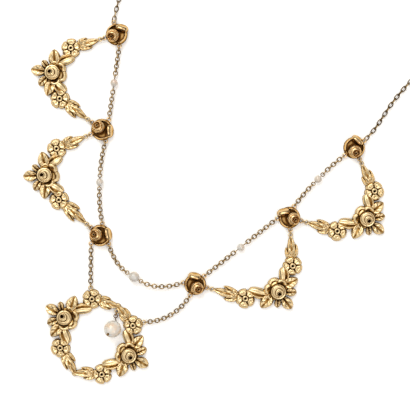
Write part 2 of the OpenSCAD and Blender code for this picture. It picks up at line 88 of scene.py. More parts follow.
# Chain roses: the middle, the direction of the bud, and the side that the largest petal turns to.
Rose = namedtuple("Rose", "x y turn hand")
ROSES = (
    Rose(-33.4, 77.8, 232, -1), Rose(-25.0, 52.2, 172, -1), Rose(-12.0, 25.6, 193, -1),
    Rose(17.9, 25.5, -35, 1), Rose(32.9, 54.1, 10, 1), Rose(40.2, 79.7, -62, 1))
# Garlands: the rose's middle and outward direction, the radius of the curve, the directions of the
# two flowers, and the chain roses that the two ends hang from.
Garland = namedtuple("Garland", "x y turn curve flowers roses")
GARLANDS = (
    Garland(-44.5, 60.1, -162, 8.9, (-58, 51), (0, 1)),
    Garland(-33.4, 33.6, -150, 8.7, (-56, 55), (1, 2)),
    Garland(39.5, 34.2, -25, 10.4, (47, -54), (4, 3)),
    Garland(52.4, 63.5, -13, 9.3, (52, -58), (5, 4)))
# Swags: the two roses, the directions of their loops, the bow, the share of the way along at which
# the pearl lies, and its diameter.
Swag = namedtuple("Swag", "roses turns bow share pearl_d")
SWAGS = (
    Swag((0, 1), (-50, 81), 0, 0.5, 2.1), Swag((1, 2), (-44, 106), -1.2, 0.5, 2.1),
    Swag((2, 3), (-17, 199), -4.9, 0.45, 3), Swag((3, 4), (70, 211), 0, 0.5, 2.1),
    Swag((4, 5), (95, 245), 0.6, 0.5, 2.1))
# Hangers: the rose and the direction of its loop, the wreath's flower, and the bow.
Hanger = namedtuple("Hanger", "rose turn flower bow")
HANGERS = (Hanger(2, 250, 0, 0), Hanger(3, 272, 3, 2))
# The wreath's halves: the direction of the rose, and of its two flowers from there. Then the
# directions in which their sprigs meet, with the share of the radius.
HALVES = ((176, (-52, 48)), (-3, (-52, 47)))
MEETINGS = ((82, 0.98), (266, 1.13))
WREATH_FLOWERS = [turn + f for turn, flowers in HALVES for f in flowers]
# The chain roses that hold the back chain, and the directions of their loops and of the drop's.
BACK_LOOPS = ((5, 63), (0, 130))
DROP_TURN = -76

# Chain roses and their buds, flowers and their eyes, the cores of the garlands' roses, the wreath.
ROSE_R = 3.1
ROSE_H = 3.7
BUD_R = 1.85
BUD_SHIFT = 1.15
FLOWER_R = 2.65
FLOWER_H = 1.85
EYE_R = 0.85
CORE_R = 2.05
CORE_H = 3.2
CORE_OUT = -0.1
WREATH_R = 10.6
# Soldered loops: radius, wire, how much fuller that is on the outer side, height, and how deep one
# sinks into a chain rose. Then how far apart a garland ring holds two loops' middles, and how far
# the drop's loop lies from the meeting of the sprigs.
LOOP_R = 0.5
LOOP_WIRE = 0.28
LOOP_FULL = 0.06
LOOP_Z = 1.0
LOOP_SINK = 0.2
RING_SPAN = 1.45
DROP_LOOP_OUT = 1.4
# How far a sprig of the wreath runs past its meeting with the other half's, in degrees.
SPRIG_PAST = 2


def polar(r, turn):
    """The point at the distance r in the direction turn."""
    a = math.radians(turn)
    return np.array([r * math.cos(a), r * math.sin(a)])


def heading(a, b):
    """The direction from a to b."""
    return math.degrees(math.atan2(b[1] - a[1], b[0] - a[0]))


def rose_at(i):
    """The middle of a chain rose."""
    return np.array([ROSES[i].x, ROSES[i].y])


def rose_loop(i, turn):
    """The middle of the loop that leaves a chain rose in the direction turn."""
    return rose_at(i) + polar(ROSE_R + LOOP_R - LOOP_SINK, turn)


def garland_mid(g):
    """The middle of a garland's curve."""
    return np.array([g.x, g.y]) - polar(g.curve + CORE_OUT, g.turn)


def garland_side(g, e):
    """The direction from a chain rose to a garland's end, that of the flower near that end."""
    return heading(rose_at(g.roses[e]), garland_mid(g) + polar(g.curve, g.turn + g.flowers[e]))


def garland_loop(g, e):
    """The middle of the loop at a garland's end."""
    side = garland_side(g, e)
    return rose_loop(g.roses[e], side) + polar(RING_SPAN, side)


def wreath_tip(m, past):
    """A point past one of the places where the wreath's sprigs meet."""
    turn, share = MEETINGS[m]
    return polar(WREATH_R * share, turn + past)


def rose_loops(i):
    """The directions of a chain rose's loops."""
    swag_ends = [s.turns[e] for s in SWAGS for e in (0, 1) if s.roses[e] == i]
    garland_ends = [garland_side(g, e) for g in GARLANDS for e in (0, 1) if g.roses[e] == i]
    hanger_ends = [h.turn for h in HANGERS if h.rose == i]
    back_ends = [turn for rose, turn in BACK_LOOPS if rose == i]
    return swag_ends + garland_ends + hanger_ends + back_ends


# Skins, and the pieces made of them

def ball(rings, pole_a, pole_b):
    """A skin closed by a pole before its first ring and one after its last."""
    return {"rings": np.asarray(rings, float), "poles": np.array([pole_a, pole_b], float)}


def hoop(rings):
    """A skin whose last ring runs on into its first, as on a link."""
    return {"rings": np.asarray(rings, float), "poles": None}


def moved(skin, at, turn=0.0, z=0.0, mirrored=False):
    """The skin mirrored across its X axis if asked, turned about Z, and moved to at and z."""
    c, s = math.cos(math.radians(turn)), math.sin(math.radians(turn))
    spin = np.array([[c, s, 0], [-s, c, 0], [0, 0, 1]])
    if mirrored:
        spin = np.diag([1, -1, 1]) @ spin
    shift = np.array([at[0], at[1], z])
    poles = skin["poles"]
    return {"rings": skin["rings"] @ spin + shift,
            "poles": None if poles is None else poles @ spin + shift}


def all_moved(skins, *args, **kwargs):
    """Several skins moved as one."""
    return [moved(skin, *args, **kwargs) for skin in skins]


def skin_faces(skin):
    """The skin's points, its quads between rings, and the triangles round its poles, outwards."""
    n, m = skin["rings"].shape[:2]
    points = skin["rings"].reshape(-1, 3)
    k = np.arange(m)
    k2 = (k + 1) % m
    rows = np.arange(n if skin["poles"] is None else n - 1)[:, None]
    a, b = rows * m, (rows + 1) % n * m
    quads = np.stack([a + k, a + k2, b + k2, b + k], -1).reshape(-1, 4)
    tris = np.zeros((0, 3), int)
    if skin["poles"] is not None:
        points = np.vstack([points, skin["poles"]])
        last = (n - 1) * m
        tris = np.vstack([np.stack([k2, k, np.full(m, n * m)], -1),
                          np.stack([last + k, last + k2, np.full(m, n * m + 1)], -1)])
    corners = np.vstack([quads[:, :3], quads[:, [0, 2, 3]], tris])
    p, q, r = (points[corners[:, j]] for j in range(3))
    if np.einsum("ij,ij->", p, np.cross(q, r)) < 0:
        quads, tris = quads[:, ::-1], tris[:, ::-1]
    return points, quads, tris


def new_mesh(name, skins, marks=None):
    """A mesh of all the skins, in metres. marks gives named values for its points."""
    points, quads, tris, start = [], [], [], 0
    for skin in skins:
        p, q, t = skin_faces(skin)
        points.append(p)
        quads.append(q + start)
        tris.append(t + start)
        start += len(p)
    points, quads, tris = np.vstack(points), np.vstack(quads), np.vstack(tris)
    corners = np.concatenate([quads.ravel(), tris.ravel()])
    starts = np.concatenate([np.arange(len(quads)) * 4, quads.size + np.arange(len(tris)) * 3])
    mesh = bpy.data.meshes.new(name)
    mesh.vertices.add(len(points))
    mesh.vertices.foreach_set("co", (points * MM).astype(np.float32).ravel())
    mesh.loops.add(len(corners))
    mesh.loops.foreach_set("vertex_index", corners.astype(np.int32))
    mesh.polygons.add(len(starts))
    mesh.polygons.foreach_set("loop_start", starts.astype(np.int32))
    mesh.update(calc_edges=True)
    mesh.polygons.foreach_set("use_smooth", np.ones(len(starts), bool))
    for key, values in (marks(points) if marks else {}).items():
        layer = mesh.attributes.new(key, "FLOAT", "POINT")
        layer.data.foreach_set("value", values.astype(np.float32))
    return mesh


def add_piece(name, node, skins, material, marks=None):
    """A piece of the necklace that stands for the solid named node. Its skins are laid out from
    the middle of the wreath."""
    mesh = new_mesh(name, all_moved(skins, WREATH_AT), marks)
    mesh.materials.append(material)
    piece = bpy.data.objects.new(name, mesh)
    bpy.context.scene.collection.objects.link(piece)
    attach(piece, BODY)
    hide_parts(node)


# Hollows and high places, which set patina, painted shade and wear in cast gold: the cell of the
# height grid, the reach of the near and the wide blur, how many cells off the highest place is
# looked for, and the height below which all is painted dark.

CELL = 0.1
NEAR_BLUR = 0.22
WIDE_BLUR = 0.8
TOP_REACH = 3
LOW_Z = 1.03
# How fast each mark grows with its difference of height, and the values that leave none.
NEAR_HOLLOW = 3.2
HOLLOW_FREE = 0.04
UNDER_TOP = 1.2
UNDER_FREE = 0.24
LOW_DARK = 1.1
NEAR_PROUD = 1.6
WIDE_PROUD = 0.25


def blurred(heights, reach):
    """The heights smoothed with a bell curve of the given reach."""
    fy = np.fft.fftfreq(heights.shape[0], CELL)[:, None]
    fx = np.fft.rfftfreq(heights.shape[1], CELL)[None, :]
    fall = np.exp(-2 * (np.pi * reach) ** 2 * (fx ** 2 + fy ** 2))
    return np.fft.irfft2(np.fft.rfft2(heights) * fall, heights.shape)


def spread(heights, steps):
    """The highest value within the given number of cells of each cell."""
    for _ in range(steps):
        heights = np.max([np.roll(heights, shift, (0, 1)) for shift in
                          ((0, 0), (1, 0), (-1, 0), (0, 1), (0, -1))], axis=0)
    return heights


def cast_marks(points, depth=0.3, under=0.22):
    """How far each point lies in a hollow, and how far it stands proud, both from 0 to 1: the
    difference between its height and the casting's height smoothed over a near and a wide reach.
    depth is the wide reach's weight. A point near the flat back counts as hollow too, and so does,
    up to the value under, one well below the highest place close by. That outlines each form. The
    hollow mark darkens the gold: patina in the hollows, and painted shade in the crevices, low down
    near the flat back and in the dark outline round each form."""
    margin = 2 * WIDE_BLUR
    low = points[:, :2].min(0) - margin
    cells = np.round((points[:, :2] - low) / CELL).astype(int)
    spots = (cells[:, 0], cells[:, 1])
    heights = np.zeros(cells.max(0) + int(margin / CELL))
    z = points[:, 2]
    np.maximum.at(heights, spots, z)
    heights = np.where(heights > 0, heights, spread(heights, 1))
    near = blurred(heights, NEAR_BLUR)[spots]
    wide = blurred(heights, WIDE_BLUR)[spots]
    top = blurred(spread(heights, TOP_REACH), NEAR_BLUR)[spots]
    # Painted shade, with patina: the hollow mark darkens crevices, places below the highest place close
    # by, and places low down near the flat back.
    hollow = NEAR_HOLLOW * (near - z) + depth * (wide - z) - HOLLOW_FREE
    below = np.minimum(under, UNDER_TOP * (top - z - UNDER_FREE))
    hollow = np.max([hollow, below, LOW_DARK * (1 - z / LOW_Z)], axis=0)
    proud = NEAR_PROUD * (z - near) + WIDE_PROUD * (z - wide)
    return {"hollow": np.clip(hollow, 0, 1), "proud": np.clip(proud, 0, 1)}


def rose_marks(points):
    """A chain rose's marks, which paint more shade into its folds than a garland's."""
    return cast_marks(points, depth=0.6, under=0.7)


# Cast shapes

# How far the walls of a casting stand out below its edges, and the rings of such a wall: their
# share of the edge's height and of that reach.
FLANK = 0.13
WALL_HEIGHTS = np.array([[0.7], [0.3], [0.0]])
WALL_REACHES = np.array([[0.5], [1.0], [0.6]])


def eased(t):
    """A smooth step from 0 to 1."""
    t = np.clip(t, 0, 1)
    return t * t * (3 - 2 * t)


def bell(x, reach):
    """A bell curve, 1 at 0 and about a third at reach."""
    return np.exp(-(x / reach) ** 2)


def flat_backed(reach, height, steps, turns, foot_z=0.0):
    """A relief on a flat back: in the direction a, at the share q of the way out, its height is
    height(q, a). A wall spreads down and out from its edge, reach(a) from the middle, to foot_z."""
    a = np.linspace(0, 2 * np.pi, turns, endpoint=False)[None, :]
    q = (np.arange(1, steps + 1) / steps)[:, None]
    out = reach(a) + 0 * q
    top = height(q, a) + 0 * out
    wall_z = foot_z + (top[-1:] - foot_z) * WALL_HEIGHTS
    r = np.vstack([q * out, out[:1] + FLANK * WALL_REACHES])
    z = np.vstack([top, wall_z])
    rings = np.stack([r * np.cos(a), r * np.sin(a), z], -1)
    middle_z = height(np.zeros((1, 1)), np.zeros((1, 1)))[0, 0]
    return ball(rings, (0, 0, middle_z), (0, 0, foot_z))


def disc(radius, height, fall, power, steps, turns, foot_z=0.0, wave=0.0):
    """A round flat-backed plate, whose height falls to its edge as a power of the share of the way
    out. Its edge has five waves of the height wave."""
    return flat_backed(lambda a: radius + wave * np.cos(5 * a),
                       lambda q, a: height - fall * q ** power + 0 * a, steps, turns, foot_z)


# A leaf's rings, and the places across it of its upper and under side, from one edge to the other.
LEAF_RINGS = 34
TOP_LINE = np.linspace(1, -1, 23)
UNDER_LINE = np.array([-1.0, -0.94, -0.3, 0.3, 0.94, 1.0])


def veined(u, v):
    """A broad leaf across its width, v from -1 to 1: two halves that rise from a deep groove to a
    thin rim, with side veins that slant from the groove, and edges that draw down."""
    swell, groove_depth, vein_depth, rim_height, edge_fall = 0.14, 0.6, 0.3, 0.2, 0.25
    groove_reach, vein_reach, rim_reach, rim_at = 0.18, 0.18, 0.16, 0.78
    veins, slant = 3, 0.3
    side = np.abs(v)
    groove = groove_depth * bell(v, groove_reach) * (1 - u) ** 0.6
    along_vein = (veins * (u - slant * side)) % 1 - 0.5
    vein = vein_depth * bell(along_vein, vein_reach) * np.sin(np.pi * side) * (1 - u) ** 0.6
    rim = rim_height * bell(side - rim_at, rim_reach) * np.sin(np.pi * u) ** 0.5
    return swell * np.sin(np.pi * side) + rim - groove - vein - edge_fall * side ** 9


def shell(u, v):
    """A cupped leaf across its width: a thick rim along one edge, a hollow beside it, and along
    the other edge a low lobe with a fine groove."""
    rim_height, hollow_depth, lobe_height, groove_depth, edge_fall = 0.45, 0.55, 0.3, 0.2, 0.35
    rim_at, hollow_at, lobe_at = 0.74, 0.34, -0.25
    rim_reach, hollow_reach, lobe_reach, groove_reach = 0.2, 0.16, 0.5, 0.14
    rim = rim_height * bell(v - rim_at, rim_reach)
    hollow = hollow_depth * bell(v - hollow_at, hollow_reach)
    lobe = lobe_height * bell(v - lobe_at, lobe_reach) - groove_depth * bell(v - lobe_at, groove_reach)
    return (rim - hollow + lobe) * np.sin(np.pi * u) ** 0.6 - edge_fall * v ** 6


def leaf(length, width, across=veined, start=0.6, end=0.8, foot_z=0.7, mid_z=1.25, tip_z=0.8,
         bend=0.0, bow=0.0, stem=0.0):
    """A cast leaf from the origin along +X. At the share u of its length, half its width goes as
    u to the power start times 1 - u to the power end, and at the foot it has stem's half width as
    well. Its middle line bends sideways by bend times u squared and bows by the sine of u.
    across(u, v) shapes it over its width. The under side's height is a share of the upper edge's,
    and where the leaf is narrow its relief and its flank are less."""
    under_edge, under_middle, relief_half, flank_half = 0.38, 0.08, 0.45, 0.3
    u = (0.5 - 0.5 * np.cos(np.pi * np.arange(1, LEAF_RINGS + 1) / (LEAF_RINGS + 1)))[:, None]
    peak = start / (start + end)
    half = width / 2 * (u / peak) ** start * ((1 - u) / (1 - peak)) ** end + stem * (1 - u) ** 4
    arch = np.sin(np.pi * u)
    spine = foot_z * (1 - u) + tip_z * u + (mid_z - (foot_z + tip_z) / 2) * arch
    top = spine + across(u, TOP_LINE[None, :]) * np.minimum(1, half / relief_half)
    under = np.where(np.abs(UNDER_LINE) == 1, under_edge, under_middle) * top[:, -1:]
    v = np.concatenate([TOP_LINE, UNDER_LINE])[None, :]
    flank = np.concatenate([0 * TOP_LINE, FLANK * UNDER_LINE])[None, :]
    sideways = half * v + flank * np.minimum(1, half / flank_half) + bend * u ** 2 + bow * arch
    rings = np.stack([length * u + 0 * v, sideways, np.hstack([top, under])], -1)
    return ball(rings, (0, 0, foot_z / 2), (length, bend, tip_z / 2))


def flower():
    """A flower of five plump petals round a ringed eye. p runs from 0 on a petal's middle to 1 in
    the slit beside it, and t from 0 at the eye to 1 at the petal's end. A petal rises from the
    slit's floor as the root of 1 - p to a power that grows from 4 at the eye to 9 at the petal's
    end. It swells along its length, falls at its end, and has a dent in its middle. The slit's
    floor rises outwards, the outline is notched at each slit, and a moat runs round the eye."""
    petals, notch = 5, 0.2
    ring_r, ring_half, ring_fall = 0.56, 0.28, 0.2
    hole_r, hole_depth, hole_floor = 0.24, 1.1, 0.5
    moat_depth, moat_out, moat_reach = 0.3, 0.04, 0.1
    petal_height, swell, end_fall, end_from = 1.45, 0.14, 0.6, 0.62
    dent_depth, dent_at, dent_length, dent_width = 0.22, 0.42, 0.26, 0.4
    floor_low, floor_rise, floor_from, floor_span = 0.55, 0.65, 0.4, 0.4

    def petal_share(a):
        return np.abs((a * petals / (2 * np.pi)) % 1 - 0.5) * 2

    def reach(a):
        return FLOWER_R * (1 - notch * petal_share(a) ** 6)

    def height(q, a):
        p = petal_share(a)
        r = q * reach(a)
        t = (r - EYE_R) / (reach(a) - EYE_R)
        on_petal = np.clip(t, 0, 1)
        ring = FLOWER_H - ring_fall * np.abs((r - ring_r) / ring_half) ** 3
        eye = np.maximum(ring - hole_depth * np.exp(-(r / hole_r) ** 4), hole_floor)
        slit_floor = floor_low + floor_rise * eased((t - floor_from) / floor_span)
        plump = np.sqrt(1 - np.clip(p, 0, 0.999) ** (4 + 5 * on_petal))
        at_end = np.clip((t - end_from) / (1 - end_from), 0, 1)
        along = petal_height + swell * np.sin(np.pi * on_petal) - end_fall * at_end ** 2.2
        dent = dent_depth * bell(t - dent_at, dent_length) * bell(p, dent_width)
        blade = np.minimum(slit_floor, along) * (1 - plump) + (along - dent) * plump
        moat = moat_depth * bell(r - EYE_R - moat_out, moat_reach)
        return np.where(t < 0, eye, blade - moat)

    return flat_backed(reach, height, steps=44, turns=130)


# The circles of a garland's rose and of a chain rose's bud, from the smallest out: radius and shift
# off the middle as shares of the rose's radius, and the shift's direction.
CORE_EYES = ((0.31, 0.32, -10), (0.58, 0.18, 10), (0.84, 0.12, 165), (1.04, 0, 0))
BUD_EYES = ((0.22, 0.36, 5), (0.46, 0.32, 0), (0.72, 0.18, -30), (1.04, 0, 0))


def nested_rose(radius, height, eyes, dip, narrow, drop, hole, pit=0.0, spin=0.0):
    """A rolled rose seen from above: petals nested round an eye, each a lip on a circle that lies
    off the middle. eyes holds the circles. Between two of them t runs from 0 to 1: a crevice of
    the depth dip and the reach narrow lies outside the inner lip, and the petal rounds over at its
    own lip, which sinks along its turn so that its end steps down. Each lip starts further round
    than the one inside it, and lies lower. The whole falls by drop to its edge. The innermost
    circle is a hole, and lies in a wider hollow of the depth pit."""
    lip_turn, lip_step, lip_sink = 100, 0.07, 0.2
    crevice_least, crevice_phase, round_share, round_from = 0.35, 0.9, 0.4, 0.7
    hole_from, hole_span, pit_r, pit_from, pit_span, foot_z = 0.3, 0.6, 0.58, 0.6, 0.4, 0.5

    def relief(q, a):
        x, y = q * radius * np.cos(a), q * radius * np.sin(a)
        dome = height - drop * q ** 2.4
        (eye_share, eye_shift, eye_turn), *petals = eyes
        eye_x, eye_y = polar(radius * eye_shift, eye_turn + spin)
        from_eye = np.hypot(x - eye_x, y - eye_y)
        in_eye = from_eye / (radius * eye_share)
        out = dome - hole * (1 - eased((in_eye - hole_from) / hole_span))
        inner = radius * eye_share - from_eye
        for k, (share, shift, turn) in enumerate(petals, 1):
            petal_x, petal_y = polar(radius * shift, turn + spin)
            gap = radius * share - np.hypot(x - petal_x, y - petal_y)
            t = np.clip(-inner / np.maximum(gap - inner, 1e-6), 0, 1)
            angle = np.arctan2(y - petal_y, x - petal_x)
            along = ((angle - math.radians(turn + spin + lip_turn * k)) / (2 * np.pi)) % 1
            lip = dome - lip_step * k - lip_sink * along ** 4
            wave = 0.5 - 0.5 * np.cos(2 * np.pi * along + crevice_phase)
            crevice = dip * (crevice_least + (1 - crevice_least) * wave) * bell(t, narrow)
            rounded = round_share * dip * np.clip((t - round_from) / (1 - round_from), 0, 1) ** 2
            out = np.where(inner < 0, lip - crevice - rounded, out)
            inner = gap
        in_pit = from_eye / (radius * pit_r)
        return out - pit * (1 - eased((in_pit - pit_from) / pit_span))

    return flat_backed(lambda a: radius + 0 * a, relief, steps=56, turns=112, foot_z=foot_z)


def lobe(depth, width, high):
    """A rounded petal on an oval: it falls to its edge as the seventh power of the share of the way
    out and, more gently, inwards to the rose's core, and has a dent in its middle."""
    edge_fall, inward_fall, inward_from, inward_span = 0.45, 0.75, 0.15, 0.7
    dent_depth, dent_at, dent_length, dent_width = 0.5, 0.05, 0.34, 0.5
    foot_z = 0.25

    def reach(a):
        return depth * width / 2 / np.hypot(width * np.cos(a), depth * np.sin(a))

    def height(q, a):
        x, y = q * np.cos(a), q * np.sin(a)
        dent = dent_depth * bell(x - dent_at, dent_length) * bell(y, dent_width)
        inward = inward_fall * eased((inward_from - x) / inward_span)
        return high - edge_fall * q ** 7 - inward - dent

    return flat_backed(reach, height, steps=16, turns=40, foot_z=foot_z)


# Skirt petals behind a garland's rose: direction from the inward side, distance of the middle,
# width, and height.
SKIRT = ((84, 2.2, 2.7, 1.35), (38, 2.7, 3.1, 1.9), (-12, 2.75, 3.4, 1.55), (-62, 2.45, 3.0, 1.85))
SKIRT_DEPTH = 2.6
# Where the plate lies under the rose, and how much smaller than in the solids the core is.
PLATE_AT = (-0.3, 0)
CORE_LESS = 0.05


def bloom():
    """A garland's rose: the rolled core, a low plate under it, and a skirt of rounded petals that
    shows on its inward side."""
    core = nested_rose(CORE_R - CORE_LESS, CORE_H, CORE_EYES, dip=0.32, narrow=0.17, drop=0.22,
                       hole=1.1)
    plate = disc(radius=2.7, height=1.35, fall=0.3, power=4, steps=10, turns=60, wave=0.1)
    petals = [moved(lobe(SKIRT_DEPTH, width, high), polar(far, 180 + turn), 180 + turn)
              for turn, far, width, high in SKIRT]
    return [core, moved(plate, PLATE_AT)] + petals


# The leaves that point outwards from a garland's rose: the foot's distance and direction, the
# leaf's direction, and its measures.
OUTWARD_LEAVES = (
    (1.7, 0, 0, dict(length=4.4, width=2.8, start=1.0, end=0.82, foot_z=1.15, mid_z=1.5, tip_z=0.9,
                     stem=0.35)),
    (1.9, -40, -40, dict(length=2.6, width=1.6, start=0.95, end=0.8, foot_z=1.1, mid_z=1.35,
                         stem=0.25, bend=-0.1)),
    (1.8, 47, 52, dict(length=3.4, width=2.15, start=1.0, end=0.82, foot_z=1.15, mid_z=1.45,
                       stem=0.35, bend=0.1)))
# The foot of the two leaves on a flower's side of the rose, and the broad one's direction.
PAIR_FOOT = (-0.4, 2.2)
BROAD_TURN = 75
BROAD_LEAF = dict(length=4.5, width=3.15, start=0.6, end=0.85, foot_z=0.9, mid_z=1.45, stem=0.15,
                  bend=0.2)
# The cupped one runs to a place on the flower, given by a share of its radius and a direction. It
# starts a little way along, and ends a little past it.
CUPPED_LEAF = dict(width=2.9, across=shell, start=0.5, end=0.42, foot_z=0.9, mid_z=1.6, tip_z=1.2,
                   bow=0.2)
CUPPED_SHARE = 0.95
CUPPED_TURN = 115
CUPPED_FROM = 0.5
CUPPED_PAST = 0.2


def bloom_leaves(flowers):
    """The leaves round a garland's rose: three that point outwards, and on each flower's side a
    broad one turned outwards and a cupped one that runs onto the flower. flowers holds the middles
    of the two flowers, seen from the rose."""
    skins = [moved(leaf(**measures), polar(far, foot_turn), turn)
             for far, foot_turn, turn, measures in OUTWARD_LEAVES]
    for flower_at in flowers:
        s = math.copysign(1, flower_at[1])
        foot = np.array([PAIR_FOOT[0], s * PAIR_FOOT[1]])
        tip = flower_at + polar(FLOWER_R * CUPPED_SHARE, -s * CUPPED_TURN)
        turn = heading(foot, tip)
        start = foot + polar(CUPPED_FROM, turn)
        cupped = leaf(np.linalg.norm(tip - start) + CUPPED_PAST, **CUPPED_LEAF)
        skins.append(moved(leaf(**BROAD_LEAF), foot, s * BROAD_TURN, mirrored=s < 0))
        skins.append(moved(cupped, start, turn, mirrored=s > 0))
    return skins


# A sprig starts at a share of the flower's radius. Its side leaves: share of the way along where
# one starts, side, turn, its length as a share of the sprig's, and width.
SPRIG_FROM = 0.72
MIDDLE_LEAF = dict(width=2.05, start=0.35, end=0.58, mid_z=1.6, tip_z=1.0, stem=0.3)
SIDE_LEAF = dict(start=0.5, end=0.85, mid_z=1.25, tip_z=0.85, bend=-0.2)
SPRIG_LEAVES = ((0.0, 1, 28, 0.58, 2.1), (0.0, -1, 22, 0.7, 1.9), (0.3, 1, 13, 0.52, 1.5))


def sprig(a, b):
    """A sprig from under the flower at a to its tip at b: a long middle leaf and three pointed side
    leaves that overlap it and each other."""
    turn = heading(a, b)
    foot = a + polar(FLOWER_R * SPRIG_FROM, turn)
    length = np.linalg.norm(b - foot)
    skins = [moved(leaf(length, **MIDDLE_LEAF), foot, turn)]
    for share, s, slant, long, width in SPRIG_LEAVES:
        side = leaf(length * long, width, **SIDE_LEAF)
        at = foot + polar(length * share, turn)
        skins.append(moved(side, at, turn + s * slant, mirrored=s < 0))
    return skins


def link(half_length, half_width, wire, steps=28, round_steps=10):
    """A link in the XY plane: round wire carried along an oval, cos and sin of the turn."""
    a = np.linspace(0, 2 * np.pi, steps, endpoint=False)[:, None]
    b = np.linspace(0, 2 * np.pi, round_steps, endpoint=False)[None, :]
    line = np.stack([half_length * np.cos(a), half_width * np.sin(a), 0 * a], -1)
    out = np.stack([half_width * np.cos(a), half_length * np.sin(a), 0 * a], -1)
    out /= np.linalg.norm(out, axis=-1, keepdims=True)
    up = np.array([0, 0, 1])
    return hoop(line + wire / 2 * (np.cos(b)[..., None] * out + np.sin(b)[..., None] * up))


# The mound of solder at a loop: radius, height over the loop's middle, and how far it lies inwards
# of the loop. Then the one where the wreath's sprigs meet: radius and height.
SOLDER_R = 0.26
SOLDER_OVER = 0.12
SOLDER_IN = 0.1
MEETING_R = 0.7
MEETING_H = 1.05


def post(r, height):
    """A little mound of solder: a rounded stub from the surface up."""
    return disc(r, height, fall=0.1, power=2, steps=4, turns=12, foot_z=0.05)


def loop(at, turn):
    """A loop soldered to a casting, which it leaves in the direction turn."""
    r = LOOP_R + LOOP_FULL / 2
    return [moved(link(r, r, LOOP_WIRE + LOOP_FULL), at, z=LOOP_Z),
            moved(post(SOLDER_R, LOOP_Z + SOLDER_OVER), at - polar(LOOP_R + SOLDER_IN, turn))]


# How a garland's two flowers are turned from the outward direction.
FLOWER_SPINS = (12, 40)


def spray(mid, turn, curve, flower_turns, tips):
    """One garland round the middle of its curve: rose, leaves, two flowers, and sprigs."""
    rose_out = curve + CORE_OUT
    rose = mid + polar(rose_out, turn)
    seen = [polar(curve, f) - (rose_out, 0) for f in flower_turns]
    skins = all_moved(bloom() + bloom_leaves(seen), rose, turn)
    for f, spin, tip in zip(flower_turns, FLOWER_SPINS, tips):
        at = mid + polar(curve, turn + f)
        skins.append(moved(flower(), at, turn + f + spin))
        skins += sprig(at, tip)
    return skins


# Chain roses

def wall_petal(turn, sweep, out, high):
    """An outer petal of a chain rose that stands along its edge as a wall. s runs from -1 to 1
    along its sweep. The wall thins from its foot to its rim, leans inwards, and lowers and thins
    towards both ends as the root of 1 - s to the fourth."""
    steps, round_steps, foot, rim, lean, foot_z = 30, 18, 0.7, 0.3, 0.2, 0.3
    end_thick, end_high, end_pole = 0.4, 0.62, 0.4
    s = np.sin(np.pi / 2 * np.linspace(-1, 1, steps + 2)[1:-1])[:, None]
    c = np.linspace(0, 2 * np.pi, round_steps, endpoint=False)[None, :]
    fade = (1 - s ** 4) ** 0.5
    a = np.radians(turn + s * sweep / 2)
    up = 0.5 + 0.5 * np.sign(np.sin(c)) * np.abs(np.sin(c)) ** 0.7
    thick = (foot + (rim - foot) * up) * (end_thick + (1 - end_thick) * fade)
    z = foot_z + (high * (end_high + (1 - end_high) * fade) - foot_z) * up
    r = out - foot / 2 - lean * up + thick / 2 * np.cos(c)
    rings = np.stack([r * np.cos(a), r * np.sin(a), z], -1)
    ends = [(*polar(out - foot / 2, turn + e * sweep / 2), high * end_pole) for e in (-1, 1)]
    return ball(rings, *ends)


def plump_petal(length, width, high):
    """The largest outer petal, a plump roll along X. Its outline is a rounded box. Across its width
    it arches as a power of the cosine from its edge to high, more steeply on the side of the bud,
    which is -Y, and it lowers towards its ends."""
    corner, edge_z, foot_z = 2.3, 1.0, 0.3
    crest, bud_side, far_side, end_share = -0.25, 0.8, 1.3, 0.45

    def reach(a):
        box = np.abs(2 * np.cos(a) / length) ** corner + np.abs(2 * np.sin(a) / width) ** corner
        return box ** (-1 / corner)

    def height(q, a):
        x = q * reach(a) * np.cos(a) / (length / 2)
        y = q * reach(a) * np.sin(a) / (width / 2)
        from_crest = (y - crest) / np.where(y > crest, far_side, bud_side)
        arch = np.cos(np.pi / 2 * np.clip(from_crest, -1, 1)) ** 0.75
        ends = np.clip(1 - np.abs(x) ** 2.5, 0, 1) ** 0.7
        return edge_z + (high - edge_z) * arch * (end_share + (1 - end_share) * ends)

    return flat_backed(reach, height, steps=20, turns=56, foot_z=foot_z)


# A chain rose's walls: direction from the bud, sweep, outer radius and height.
ROSE_WALLS = ((-122, 96, 3.1, 2.5), (66, 92, 3.05, 2.2), (-28, 82, 3.0, 1.5))
# The largest petal: its direction from the bud, distance, length, width and height, and how far
# each rose's is turned out of line.
ROLL_TURN = 156
ROLL_OUT = 2.2
ROLL_SIZE = (3.5, 2.05, 2.8)
ROLL_TILTS = (25, 10, 0, 15, 35, 18)
# How much smaller than in the solids the bud is, and how each rose's is turned. Then how much
# smaller than the rose the plate under it is.
BUD_LESS = 0.08
BUD_SPINS = (-20, 12, -8, 15, -12, 25)
PLATE_LESS = 0.2


def chain_rose(i):
    """A chain rose: a low plate, three petals that stand as walls along its edge, the plump largest
    petal, and the rolled bud set off the middle."""
    plate = disc(ROSE_R - PLATE_LESS, height=0.8, fall=0.15, power=6, steps=12, turns=72)
    bud = nested_rose(BUD_R - BUD_LESS, ROSE_H, BUD_EYES, dip=0.45, narrow=0.2, drop=1.0, hole=0.7,
                      pit=1.05, spin=BUD_SPINS[i])
    roll_at = polar(ROLL_OUT, ROLL_TURN)
    roll = moved(plump_petal(*ROLL_SIZE), roll_at, ROLL_TURN - 90 - ROLL_TILTS[i])
    walls = [wall_petal(*wall) for wall in ROSE_WALLS]
    skins = [plate, moved(bud, (BUD_SHIFT - BUD_LESS, 0)), roll] + walls
    skins = all_moved(skins, rose_at(i), ROSES[i].turn, mirrored=ROSES[i].hand < 0)
    for turn in rose_loops(i):
        skins += loop(rose_loop(i, turn), turn)
    return skins


# Materials

# What gold reflects at a glancing angle.
EDGE_TINT = (1.0, 0.74, 0.4)
# The noise that makes gold uneven: its scale, and how far it shifts cast gold's shade.
PATCH_SCALE = 900
PATCH_SHIFT = 0.12
# How far a high place lightens cast gold, and the shade at which the gold is at its roughest.
PROUD_SHIFT = -0.35
ROUGHEST_AT = 0.7
